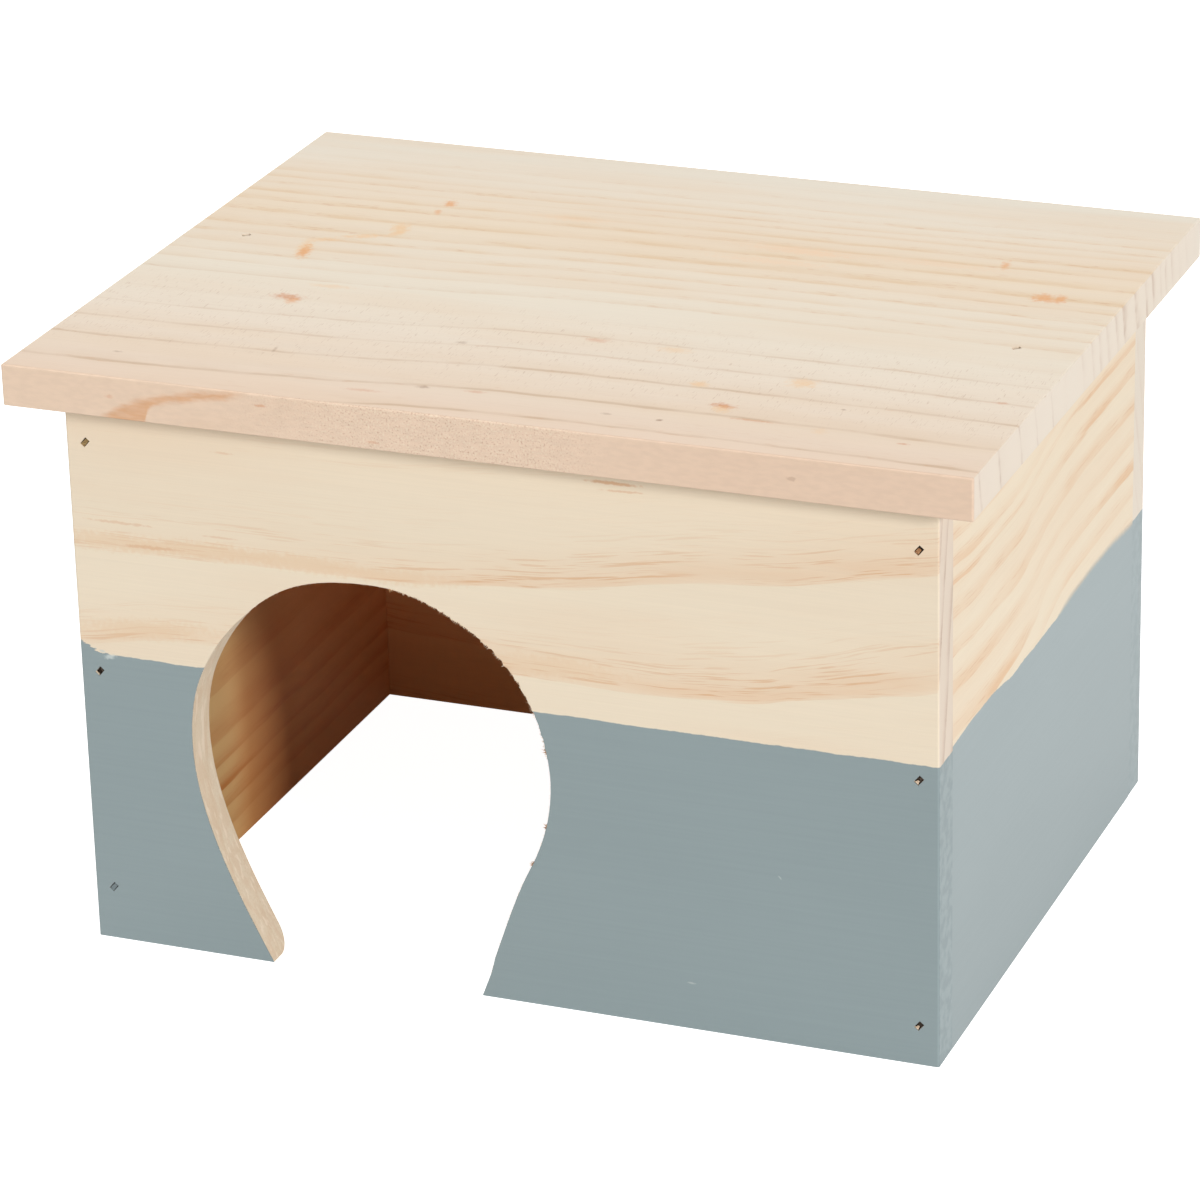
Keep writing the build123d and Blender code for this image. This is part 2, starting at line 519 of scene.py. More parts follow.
def boardMaterial(name, grain, coat=None, marks=(), finish=None):
    material, tree, shader = freshMaterial(name)
    spot = boardPoint(tree, grain["axes"])
    colour, height, late, inside = bareWood(grain, spot)
    dulled = rescale(rise(spot["Z"], *pine["floorReach"]), *pine["innerSheen"])
    sheen = mixValue(inside, pine["sheen"], dulled)
    if finish:
        colour, height = finish(colour, height, spot, late)
    roughness = rescale(late, *pine["roughness"])
    if coat:
        wood = (colour, roughness, sheen, height)
        colour, roughness, sheen, height = painted(coat, grain["axes"], spot, wood)
    setInputs(shader, {
        "Base Color": addMarks(colour, spot, marks) if marks else colour,
        "Roughness": roughness,
        "Specular IOR Level": sheen,
        "Normal": bumpOf(height, pine["relief"]),
    })
    return material


# How the boards' meshes are cleaned, and their arrises found and eased
arris = {
    "flat": math.radians(0.5),  # faces that turn less than this are one
    "sharp": math.radians(50),
    "shadeSharp": math.radians(40),
    "holeReach": 2.5,
    "doorLean": 0.05,  # most that a face of the doorway's cut looks forward
    "segments": 3,
    "profile": 0.5,  # round
}


# A copy of a node's mesh with its triangles joined up
def mergedNode(name):
    work = bmesh.new()
    work.from_mesh(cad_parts[name].data)
    bmesh.ops.remove_doubles(work, verts=work.verts, dist=mergeReach)
    return work


def joinFlatFaces(work):
    bmesh.ops.dissolve_limit(work, angle_limit=arris["flat"], verts=work.verts, edges=work.edges)


# Brad heads in the frame: middle of each head, the way it faces and the way its long side leans
def findBradHeads():
    outward = {"front": Vector((0, -1, 0)), "back": Vector((0, 1, 0)), "roof": Vector((0, 0, 1))}
    heads = []
    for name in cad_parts:
        if "brad" not in name:
            continue
        away = outward[name.split("_")[0]]
        work = mergedNode(name)
        top = max(away.dot(vert.co) for vert in work.verts) - closeBy
        under = [face for face in work.faces if away.dot(face.calc_center_median()) < top]
        bmesh.ops.delete(work, geom=under, context="FACES")
        joinFlatFaces(work)
        for face in work.faces:
            longest = max(face.edges, key=lambda edge: edge.calc_length())
            lean = (longest.verts[1].co - longest.verts[0].co).normalized()
            if lean.x < 0:
                lean = -lean
            heads.append({"middle": face.calc_center_median(), "facing": away, "lean": lean})
        work.free()
    return heads


bradHeads = findBradHeads()
print("brad heads found:", len(bradHeads))


# True where both ends of an edge lie on one outer face of the board's box
def onBoxFace(edge, low, high):
    first, second = edge.verts[0].co, edge.verts[1].co
    for axis in range(3):
        for level in (low[axis], high[axis]):
            if abs(first[axis] - level) < closeBy and abs(second[axis] - level) < closeBy:
                return True
    return False


# True on the upright seams outside, where the boards meet flush
def onSeam(edge):
    corner = rightHigh * mm
    for vert in edge.verts:
        if abs(abs(vert.co.x) - corner.x) > closeBy or abs(abs(vert.co.y) - corner.y) > closeBy:
            return False
    return True


# True beside a brad's hole, whose rim stays as the wire tore it
def atBradHole(edge):
    middle = (edge.verts[0].co + edge.verts[1].co) / 2
    return any((middle - head["middle"]).length < arris["holeReach"] * mm for head in bradHeads)


# True for a face of the doorway's cut, from a height upwards
def inDoorway(face, height):
    for vert in face.verts:
        if abs(vert.co.x) > doorReach * mm or vert.co.z < height - closeBy:
            return False
    return abs(face.normal.y) < arris["doorLean"]


# The open edges from one point to another, as a list of their points
def walkOpenEdges(start, end, allowed):
    walk = [start]
    here = start
    left = {edge for edge in allowed if len(edge.link_faces) == 1}
    while here != end:
        edge = next(edge for edge in here.link_edges if edge in left)
        left.discard(edge)
        here = edge.other_vert(here)
        walk.append(here)
    return walk


# How far along a rim each of its points lies, as a share of its whole length
def rimShares(walk):
    run = [0.0]
    for first, second in zip(walk, walk[1:]):
        run.append(run[-1] + (second.co - first.co).length)
    return [part / run[-1] for part in run]


# Close steps that take in the points of both rims
def rimSteps(shares, stepShare, closest):
    steps = [0.0]
    for share in sorted(shares):
        last = steps[-1]
        if share - last < closest:
            continue
        parts = math.ceil((share - last) / stepShare)
        steps += [last + (share - last) * part / parts for part in range(1, parts + 1)]
    steps[-1] = 1.0
    return steps


# Splits a rim until it has a point at each step
def fillRim(walk, steps, closest):
    own = rimShares(walk)
    filled = [walk[0]]
    count = 1
    for index in range(1, len(walk)):
        start, end = own[index - 1], own[index]
        here = walk[index - 1]
        while steps[count] < end - closest:
            edge = next(edge for edge in here.link_edges if edge.other_vert(here) == walk[index])
            here = bmesh.utils.edge_split(edge, here, (steps[count] - start) / (end - start))[1]
            filled.append(here)
            start = steps[count]
            count += 1
        filled.append(walk[index])
        count += 1
    return filled


# A smooth place at a share, through points that lie at their own shares
def smoothPlace(places, shares, share):
    step = max(index for index in range(len(shares) - 1) if shares[index] <= share)
    width = shares[step + 1] - shares[step]
    slopes = []
    for index in (step, step + 1):
        before, after = max(index - 1, 0), min(index + 1, len(places) - 1)
        slopes.append((places[after] - places[before]) / (shares[after] - shares[before]) * width)
    part = (share - shares[step]) / width
    square, cube = part ** 2, part ** 3
    return (
        places[step] * (2 * cube - 3 * square + 1) + places[step + 1] * (3 * square - 2 * cube)
        + slopes[0] * (cube - 2 * square + part) + slopes[1] * (cube - square)
    )


# Cuts the doorway's faces away above its feet.
# Gives the points round the front and back rims, and those across the two feet.
def openDoorway(work, foot, low, high):
    cut = [face for face in work.faces if inDoorway(face, 0.0)]
    around = dict.fromkeys(part for face in cut for part in (face, *face.edges, *face.verts))
    bmesh.ops.bisect_plane(
        work, geom=list(around), dist=mergeReach, plane_co=(0, 0, foot), plane_no=(0, 0, 1),
    )
    gone = [face for face in work.faces if inDoorway(face, foot)]
    bmesh.ops.delete(work, geom=gone, context="FACES")
    opened = [edge for edge in work.edges if len(edge.link_faces) == 1]
    rims = []
    for level in (low.y, high.y):
        rim = [edge for edge in opened if all(abs(vert.co.y - level) < closeBy for vert in edge.verts)]
        feet = {vert for edge in rim for vert in edge.verts if abs(vert.co.z - foot) < closeBy}
        ends = sorted(feet, key=lambda vert: vert.co.x)
        rims.append(walkOpenEdges(ends[0], ends[-1], rim))
    front, back = rims
    across = [edge for edge in opened if all(abs(vert.co.z - foot) < closeBy for vert in edge.verts)]
    sills = []
    for start, end in ((back[0], front[0]), (front[-1], back[-1])):
        sills.append(walkOpenEdges(start, end, across)[1:-1])
    return front, back, sills


# How far the saw went off its line at a place, in millimetres into the opening
def sawStray(saw, place):
    x, z = place.x / mm, place.z / mm
    torn = min(max((x - saw["tornFrom"][0]) / saw["tornFade"], 0), 1)
    torn *= min(max((z - saw["tornFrom"][1]) / saw["tornFade"], 0), 1)
    depth = saw["rough"] + (saw["torn"] - saw["rough"]) * torn
    shift = noise.noise(place / (saw["tooth"] * mm))
    shift += saw["fineShare"] * noise.noise(place / (saw["fineTooth"] * mm))
    turns = [turn for turn, stray in saw["stray"]]
    strays = [stray for turn, stray in saw["stray"]]
    turn = math.degrees(math.atan2(z - doorCentre[1], x - doorCentre[0]))
    return shift * depth + smoothPlace(strays, turns, (turn - turns[0]) % 360 + turns[0])


# The doorway was sawn by hand: its cut is laid afresh in close steps, each a little off the line.
# Gives the points of its front and back rims.
def sawDoorway(work, saw, low, high):
    front, back, sills = openDoorway(work, saw["foot"] * mm, low, high)
    shares = rimShares(front)
    places = [vert.co.copy() for vert in front]
    length = sum((second - first).length for first, second in zip(places, places[1:]))
    closest = saw["closest"] * mm / length
    steps = rimSteps(shares + rimShares(back), saw["step"] * mm / length, closest)
    front = fillRim(front, steps, closest)
    back = fillRim(back, steps, closest)
    settleShare = saw["settle"] * mm / length
    for step, share in enumerate(steps[1:-1], start=1):
        place = smoothPlace(places, shares, share)
        ahead = smoothPlace(places, shares, min(share + closest, 1.0)) - place
        outward = Vector((ahead.z, 0, -ahead.x)).normalized()  # off the wood, into the opening
        settle = min(1, share / settleShare, (1 - share) / settleShare)
        place += outward * sawStray(saw, place) * settle * mm
        for vert in (front[step], back[step]):
            vert.co.x, vert.co.z = place.x, place.z
    last = len(steps) - 1
    for step in range(last):
        corners = [front[step], front[step + 1]]
        if step == last - 1:
            corners += sills[1]
        corners += [back[step + 1], back[step]]
        if step == 0:
            corners += sills[0]
        work.faces.new(corners)
    return front, back


def easeEdges(work, edges, ease):
    bmesh.ops.bevel(
        work, geom=edges, offset=ease * mm, offset_type="OFFSET", segments=arris["segments"],
        profile=arris["profile"], affect="EDGES", clamp_overlap=True,
    )


# A board made from its frame node: doubles merged, flat faces made whole, arrises eased.
# Gives the points of its doorway's front rim, if it has one.
def easedBoard(board, material):
    low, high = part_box(board["node"])
    work = mergedNode(board["node"])
    joinFlatFaces(work)
    arrises = []
    for edge in work.edges:
        if len(edge.link_faces) != 2 or not edge.is_convex or edge.calc_face_angle() < arris["sharp"]:
            continue
        doorway = any(inDoorway(face, 0.0) for face in edge.link_faces)
        if onBoxFace(edge, low, high) and not (atBradHole(edge) or onSeam(edge) or doorway):
            arrises.append(edge)
    easeEdges(work, arrises, board["ease"])
    rim = []
    if "saw" in board:
        front, back = sawDoorway(work, board["saw"], low, high)
        rim = [vert.co.copy() for vert in front]
        lips = []
        for walk in (front, back):
            lips += [work.edges.get(pair) for pair in zip(walk, walk[1:])]
        easeEdges(work, lips, board["saw"]["ease"])
    bmesh.ops.recalc_face_normals(work, faces=work.faces)
    for face in work.faces:
        face.smooth = True
    shape = bpy.data.meshes.new(board["name"] + "Rough")
    work.to_mesh(shape)
    work.free()
    if "custom_normal" in shape.attributes:
        shape.attributes.remove(shape.attributes["custom_normal"])
    shape.set_sharp_from_angle(angle=arris["shadeSharp"])
    piece = addObject(board["name"], shape)
    # broad faces keep their own shading beside the narrow eased edges
    weighted = piece.modifiers.new("broadFaces", "WEIGHTED_NORMAL")
    weighted.keep_sharp = True
    piece.data = settledMesh(piece)
    piece.data.name = board["name"]
    piece.modifiers.remove(weighted)
    piece.data.materials.clear()
    piece.data.materials.append(material)
    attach(piece, "root")
    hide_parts(board["node"])
    return rim


# Camera, solved on the photograph's straight edges
viewpoint = {
    "place": (409.36, -1031.68, 530.91),
    "aim": (-6.47, 0.0, 63.88),
    "lens": 158.207,
    "sensor": 36.0,
    "roll": -1.485,  # degrees
    "clip": (50.0, 50000.0),
}


# The turn that makes a camera or lamp look one way
def lookTurn(way):
    return way.to_track_quat("-Z", "Y")


def makeCamera():
    camera = bpy.data.cameras.new("photoCamera")
    camera.lens = viewpoint["lens"]
    camera.sensor_width = viewpoint["sensor"]
    camera.clip_start, camera.clip_end = [reach * mm for reach in viewpoint["clip"]]
    holder = addObject("photoCamera", camera)
    place = Vector(viewpoint["place"]) * mm
    turn = lookTurn(Vector(viewpoint["aim"]) * mm - place)
    holder.rotation_mode = "QUATERNION"
    holder.rotation_quaternion = turn @ Quaternion((0, 0, 1), math.radians(viewpoint["roll"]))
    holder.location = place
    bpy.context.scene.camera = holder


makeCamera()
print("camera set")

# Front wall
frontBoard = {
    "node": "front_wall",
    "name": "frontBoard",
    "slot": "front_board",
    "ease": 0.3,
    "saw": {
        "foot": 6.0,  # height below which the jambs are left as they are
        "step": 0.6,
        "closest": 0.15,
        "settle": 4.0,  # mm from a foot to where it strays in full
        "tooth": 1.1,  # mm from one saw mark to the next
        "fineTooth": 0.44,
        "fineShare": 0.6,
        "rough": 0.025,
        "torn": 0.36,  # deeper marks where the saw ran against the grain
        "tornFrom": (-25.0, 58.0),
        "tornFade": 10.0,
        "ease": 0.12,
        # mm that it strayed into the opening, by degrees round the head from the right
        "stray": [
            (-90, 0.1), (-50, 0.4), (-24, 0.7), (-8, 0.4), (4, 0.1), (16, 0), (28, -0.35),
            (46, -0.5), (62, -0.15), (78, -0.3), (94, -0.05), (112, -0.55), (122, -0.4), (132, 0),
            (150, -0.1), (162, -0.4), (184, -0.25), (215, 0), (270, 0),
        ],
    },
}
# Noise in a grain is along, across and seed, then for wander and fray the swing in millimetres
frontGrain = {
    "axes": "XZY",
    "seed": 3,
    "reach": wallReach,
    "face": frontLow.y,
    # a ring's path along the board, low on the wall and higher up
    "drift": [
        (0, -1), (0.05, 0.7), (0.1, 2.3), (0.165, 3.1), (0.4, 5.7), (0.525, 6), (0.68, 5.6),
        (0.75, 6.6), (0.795, 7.4), (0.837, 9.2), (0.91, 11.4), (1, 14),
    ],
    "farDrift": [
        (0, 0), (0.2, 0.4), (0.4, 1.3), (0.5, 3.2), (0.56, 4.1), (0.625, 6), (0.675, 7.8),
        (0.75, 10), (0.825, 11.6), (0.875, 13.5), (0.925, 15.9), (1, 18.6),
    ],
    "driftBetween": (86.0, 97.0),
    "lean": 5.5,  # mm across for each mm through the board
    "wander": (80.0, 25.0, 4, 0.5),
    "fray": (34.0, 1.0, 5, 0.9),
    "frayStart": 0.4,
    # where each ring starts and how strong it is
    "rings": [
        (-62, 0.6), (-28, 0.8), (6, 0.9), (39, 0.8), (72.5, 1), (95.3, 1), (121, 0.06), (150, 0),
    ],
    "profile": [
        (0, 0), (0.02, 0.8), (0.06, 1), (0.13, 0.85), (0.21, 0.6), (0.31, 0.34), (0.42, 0.12),
        (0.55, 0.03), (1, 0),
    ],
    "patch": (55.0, 8.0, 6),
    "faintest": 0.5,
    "fade": [(0, 0.35), (0.06, 0.5), (0.2, 0.68), (0.42, 1), (1, 1)],
    "contrast": 0.92,
    "lateColour": seen(230, 201, 170),
    "hair": (12.0, 0.4, 7),
    "hairFrom": 0.53,
    "hairShade": 0.9,
    "dash": seen(217, 172, 130),
    "endShade": 1.0,
    "endGrain": seen(222, 206, 190),
    "inner": {"face": ("Y", frontHigh.y, 1), "within": "X"},
}
frontCoat = {
    "faces": (("Y", -1), ("X", 1), ("X", -1)),
    "along": "X",
    "reach": wallReach,
    "line": [
        (0, 73), (0.0125, 71.8), (0.022, 70.9), (0.045, 70.2), (0.3, 70.2), (0.6, 70.6), (1, 70.6),
    ],
    "jag": {"between": (-90.0, -95.0), "reach": 0.6},
    "drinks": (0.2, 0.9),  # least and most of the darker tone on its ends
    "heightShade": (1.03, 1.0),  # painted light and shade by height: at the floor and near the upper line
    "seed": 11,
}
smear = seen(196, 205, 202)
fleck = seen(196, 203, 200)
resinDash = seen(214, 166, 124)
peachCloud = seen(228, 195, 158)
frontMarks = marksOn("Y", frontLow.y, through=1.0, rows=[
    (-90.0, 97.6, 16.0, 2.4, 0, 0.42, peachCloud),
    (-68.0, 98.2, 18.0, 2.3, -1, 0.46, peachCloud),
    (-45.0, 98.2, 18.0, 2.2, 0, 0.46, peachCloud),
    (-22.0, 97.9, 16.0, 2.0, -2, 0.38, peachCloud),
    (-83.0, 77.6, 18.0, 2.7, -5, 0.36, peachCloud),
    (12.0, 81.6, 20.0, 2.8, 0, 0.34, peachCloud),
    (-92.8, 69.8, 1.5, 0.7, -10, 0.85, smear),
    (-94.6, 70.9, 1.0, 0.4, 5, 0.6, smear),
    (64.3, 39.6, 0.6, 0.2, 45, 0.5, fleck),
    (43.7, 11.1, 1.0, 0.25, 0, 0.5, fleck),
    (28.0, 125.7, 7.0, 0.45, 0, 0.75, resinDash),
    (30.5, 124.1, 5.5, 0.3, -2, 0.5, resinDash),
    (-88.5, 102.3, 9.0, 0.4, 0, 0.4, resinDash),
    (-64.0, 101.8, 4.5, 0.3, 0, 0.35, resinDash),
    (-81.0, 97.3, 7.0, 0.5, -2, 0.5, resinDash),
    (-62.5, 121.7, 2.4, 0.3, 0, 0.35, resinDash),
])
# The doorway's cut, inside the board's thickness
doorCut = {
    "skin": (0.05, 0.15),  # mm below the board's faces
    "tone": seen(231, 215, 190),
    "line": seen(218, 194, 162),
    "lateShare": 0.6,
    "poreSize": (0.5, 0.5),
    "poreLimits": (0.4, 0.7),
    "poreShare": 0.35,
    # pink and pale streaks that follow the rim
    "blush": seen(222, 195, 165),
    "blushSize": (11.0, 2.2),
    "blushLimits": (0.46, 0.62),
    "blushShare": 0.4,
    "pale": seen(243, 227, 205),
    "paleSize": (8.0, 1.1),
    "paleLimits": (0.54, 0.68),
    "paleShare": 0.7,
    "seed": 14,
}


def doorwayFinish(colour, height, spot, late):
    outerSkin = [frontLow.y + depth for depth in doorCut["skin"]]
    innerSkin = [frontHigh.y - depth for depth in doorCut["skin"]]
    within = product(
        rise(spot["Y"], *outerSkin), rise(spot["Y"], *innerSkin),
        calc("LESS_THAN", calc("ABSOLUTE", spot["X"]), doorReach),
    )
    seed = doorCut["seed"]
    pores = patches(spot["place"], doorCut["poreSize"], seed, doorCut["poreLimits"])
    pores = product(pores, doorCut["poreShare"])
    line = addUp(product(late, doorCut["lateShare"]), pores)
    cut = mixColour(line, doorCut["tone"], doorCut["line"])
    upright = combine(spot["Z"], spot["Y"], spot["X"])
    for step, name in enumerate(("blush", "pale"), start=1):
        size, limits = doorCut[name + "Size"], doorCut[name + "Limits"]
        share = product(patches(upright, size, seed + step, limits), doorCut[name + "Share"])
        cut = mixColour(share, cut, doorCut[name])
    return mixColour(within, colour, cut), height


frontMaterial = boardMaterial("frontPine", frontGrain, frontCoat, frontMarks, doorwayFinish)
doorwayRim = easedBoard(frontBoard, frontMaterial)
print("front wall made, doorway rim points:", len(doorwayRim))

# Back wall
backBoard = {"node": "back_wall", "name": "backBoard", "slot": "back_board", "ease": 0.3}
backGrain = dict(
    frontGrain, seed=23, face=-frontLow.y, lean=-3.4,
    wander=(80.0, 25.0, 24, 2.0), fray=(34.0, 1.2, 25, 0.8), patch=(55.0, 8.0, 26), hair=(16.0, 0.4, 27),
    rings=[
        (-70, 0.8), (-44, 1), (-20, 0.7), (4, 0.9), (25, 1), (46, 0.8), (63, 1), (82, 0.7), (101, 1),
        (124, 0.5), (150, 0),
    ],
    drift=[(0, 9), (0.3, 4), (0.55, 0), (0.8, 3), (1, 8)],
    farDrift=[(0, 14), (0.25, 8), (0.5, 1), (0.75, 0), (1, 5)],
    fade=[(0, 0.9), (0.5, 1), (1, 0.8)],
    endShade=0.25, endGrain=seen(226, 215, 201),
    inner={"face": ("Y", -frontHigh.y, -1), "within": "X"},
)
backCoat = {
    "faces": (("Y", 1), ("X", 1), ("X", -1)),
    "along": "X",
    "reach": wallReach,
    "line": [(0, 70.9), (0.3, 70.2), (0.6, 71.1), (1, 70.5)],
    "drinks": (0.0, 0.4),
    "heightShade": (0.95, 0.99),
    "seed": 31,
}
easedBoard(backBoard, boardMaterial("backPine", backGrain, backCoat))
print("back wall made")

# Side walls
rightBoard = {"node": "right_wall", "name": "rightBoard", "slot": "right_board", "ease": 0.3}
rightGrain = {
    "axes": "YZX",
    "seed": 43,
    "reach": sideReach,
    "face": rightHigh.x,
    "drift": [(0, 0.9), (0.15, 0), (0.3, 0.6), (0.42, 3.5), (0.52, 9.5), (0.62, 11.6), (1, 12.4)],
    "farDrift": [(0, 1.5), (0.15, 0), (0.3, -0.3), (0.42, 2.2), (0.53, 5.5), (0.66, 7.3), (1, 7.7)],
    "driftBetween": (80.0, 93.0),
    "lean": -1.2,
    "wander": (50.0, 22.0, 44, 0.9),
    "fray": (24.0, 1.0, 45, 0.5),
    "frayStart": 1.0,
    "rings": [
        (-40, 0.7), (-27, 0.8), (-14, 0.7), (-2, 0.8), (10, 0.7), (22, 0.8), (34, 0.7), (45, 0.8),
        (56, 0.8), (64, 0.7), (72.2, 1), (82.3, 0.6), (90.2, 0.9), (98.7, 1), (106.8, 0.9),
        (110.6, 0.7), (116.8, 0.6), (124, 0.5), (131, 0.5), (140, 0.5),
    ],
    "profile": [(0, 0.12), (0.08, 1), (0.22, 0.9), (0.42, 0.38), (0.68, 0.03), (1, 0.12)],
    "patch": (40.0, 9.0, 46),
    "faintest": 0.35,
    "fade": [
        (0, 1), (0.25, 1), (0.36, 0.75), (0.45, 0.35), (0.54, 0.4), (0.64, 0.9), (0.75, 1), (1, 1),
    ],
    "contrast": 1.0,
    "lateColour": seen(226, 190, 153),
    "hair": (10.0, 0.4, 47),
    "hairFrom": 0.55,
    "hairShade": 0.5,
    "dash": seen(206, 152, 108),
    "endShade": 0.6,
    "inner": {"face": ("X", rightLow.x, -1), "within": "Y"},
}
rightCoat = {
    "faces": (("X", 1),),
    "along": "Y",
    "reach": (frontLow.y, -frontLow.y),
    "line": [
        (0, 71.2), (0.04, 71.4), (0.175, 72), (0.29, 71.2), (0.344, 70.5), (0.53, 70.4), (0.59, 71.2),
        (0.66, 71.7), (0.78, 71.7), (0.865, 70.9), (0.935, 70.1), (1, 69.4),
    ],
    "thin": {"between": (0.53, 0.6), "softness": 2.4},  # the brush ran dry towards the back
    "drinks": (0.0, 0.5),
    # painted shade near the floor
    "heightShade": (0.89, 0.975),
    "seed": 51,
}
easedBoard(rightBoard, boardMaterial("rightPine", rightGrain, rightCoat))

leftBoard = {"node": "left_wall", "name": "leftBoard", "slot": "left_board", "ease": 0.3}
leftGrain = dict(
    rightGrain, seed=63, face=-rightLow.x, lean=1.2,
    wander=(50.0, 22.0, 64, 0.8), fray=(24.0, 1.0, 65, 0.4), patch=(40.0, 9.0, 66), hair=(8.0, 0.4, 67),
    rings=[
        (-30, 0.7), (-16, 0.8), (-5, 0.7), (5, 0.9), (10, 0.7), (15.5, 1), (22, 1), (28, 1),
        (40.5, 0.9), (52, 0.8), (63, 0.7), (76, 0.8), (88, 0.7), (101, 0.8), (113, 0.7), (125, 0.6),
        (138, 0.6), (152, 0.5),
    ],
    drift=[(0, 0), (0.3, 0.6), (0.6, 1.6), (1, 2.4)],
    farDrift=[(0, 0), (0.5, 1), (1, 2)],
    fade=[(0, 1), (0.28, 0.95), (0.45, 0.5), (1, 0.4)],
    profile=[(0, 0.1), (0.1, 1), (0.25, 0.8), (0.5, 0.3), (0.85, 0), (1, 0.1)],
    innerLate=seen(200, 144, 90),
    inner={"face": ("X", -rightLow.x, 1), "within": "Y"},
)
leftCoat = dict(
    rightCoat, faces=(("X", -1),), seed=71, heightShade=(0.95, 0.99),
    line=[
        (0, 73), (0.06, 72.8), (0.12, 72), (0.3, 70.8), (0.53, 70.4), (0.66, 71.2), (0.85, 70.6),
        (1, 70.9),
    ],
)
easedBoard(leftBoard, boardMaterial("leftPine", leftGrain, leftCoat))
print("side walls made")

# Roof
roofBoard = {"node": "roof_board", "name": "roofBoard", "slot": "roof_board", "ease": 0.3}
roofGrain = {
    "axes": "XYZ",
    "seed": 83,
    "reach": (roofLow.x, roofHigh.x),
    "span": (roofLow.y, roofHigh.y),
    "face": roofHigh.z,
    # a ring's path at the front of the roof and at its back
    "drift": [
        (0, -7.6), (0.1, -7.2), (0.24, -5.8), (0.325, -4.2), (0.39, -1.8), (0.455, 0), (0.55, 1.1),
        (0.68, 1.5), (1, 0),
    ],
    "farDrift": [(0, -4.4), (0.25, -3.6), (0.5, -2.5), (0.75, -1.2), (1, 0)],
    "driftBetween": (-35.0, 62.0),
    "lean": -0.22,
    "wander": (60.0, 18.0, 84, 0.5),
    "fray": (11.0, 3.0, 85, 0.3),
    "frayStart": 1.0,
    "rings": [
        (-110, 0.5), (-95, 0.6), (-82.8, 0.85), (-70, 0.75), (-55.3, 0.72), (-44, 0.5), (-33, 0.5),
        (-23, 0.1), (-10, 0.4), (-2.6, 0.45), (3.1, 0.55), (8.9, 0.65), (16, 0.8), (21.7, 1),
        (31, 0.95), (38.9, 1), (44.6, 0.9), (51, 0.5), (55.3, 0.65), (60.3, 0.55), (66, 0.3),
        (72, 0.2), (79, 0.12), (86, 0.1), (94, 0),
    ],
    # thin lines at the front, broad soft ones at the back
    "profile": [
        (0, 0.12), (0.03, 0.8), (0.06, 1), (0.1, 0.5), (0.16, 0.2), (0.4, 0.1), (0.8, 0.02), (1, 0.12),
    ],
    "softProfile": [(0, 0.15), (0.1, 1), (0.22, 0.7), (0.45, 0.22), (0.8, 0), (1, 0.15)],
    "softCurve": [(0, 0.0), (0.28, 0.03), (0.4, 0.4), (0.5, 0.9), (0.8, 1), (1, 0.9)],
    "patch": (16.0, 5.0, 86),
    "faintest": 0.36,
    "contrast": 0.9,
    "lateColour": seen(198, 168, 136),
    "softColour": seen(225, 197, 161),
    "hair": (3.5, 0.7, 87),
    "hairFrom": 0.56,
    "hairShade": 0.5,
    "dash": seen(206, 156, 116),
    "endShade": 0.7,
    "zones": [
        (0.0, seen(233, 210, 189)),
        (0.1, seen(233, 215, 195)),
        (0.25, seen(235, 221, 203)),
        (0.42, seen(234, 223, 205)),
        (0.55, seen(234, 221, 202)),
        (0.68, seen(235, 217, 193)),
        (0.8, seen(234, 218, 197)),
        (0.9, seen(233, 222, 205)),
        (1.0, seen(231, 222, 206)),
    ],
    "inner": {"face": ("Z", roofLow.z, -1), "within": "XY"},
}
resin = seen(228, 164, 108)
paleResin = seen(236, 196, 148)
rustResin = seen(208, 142, 98)
peach = seen(240, 206, 172)
bark = seen(150, 112, 84)
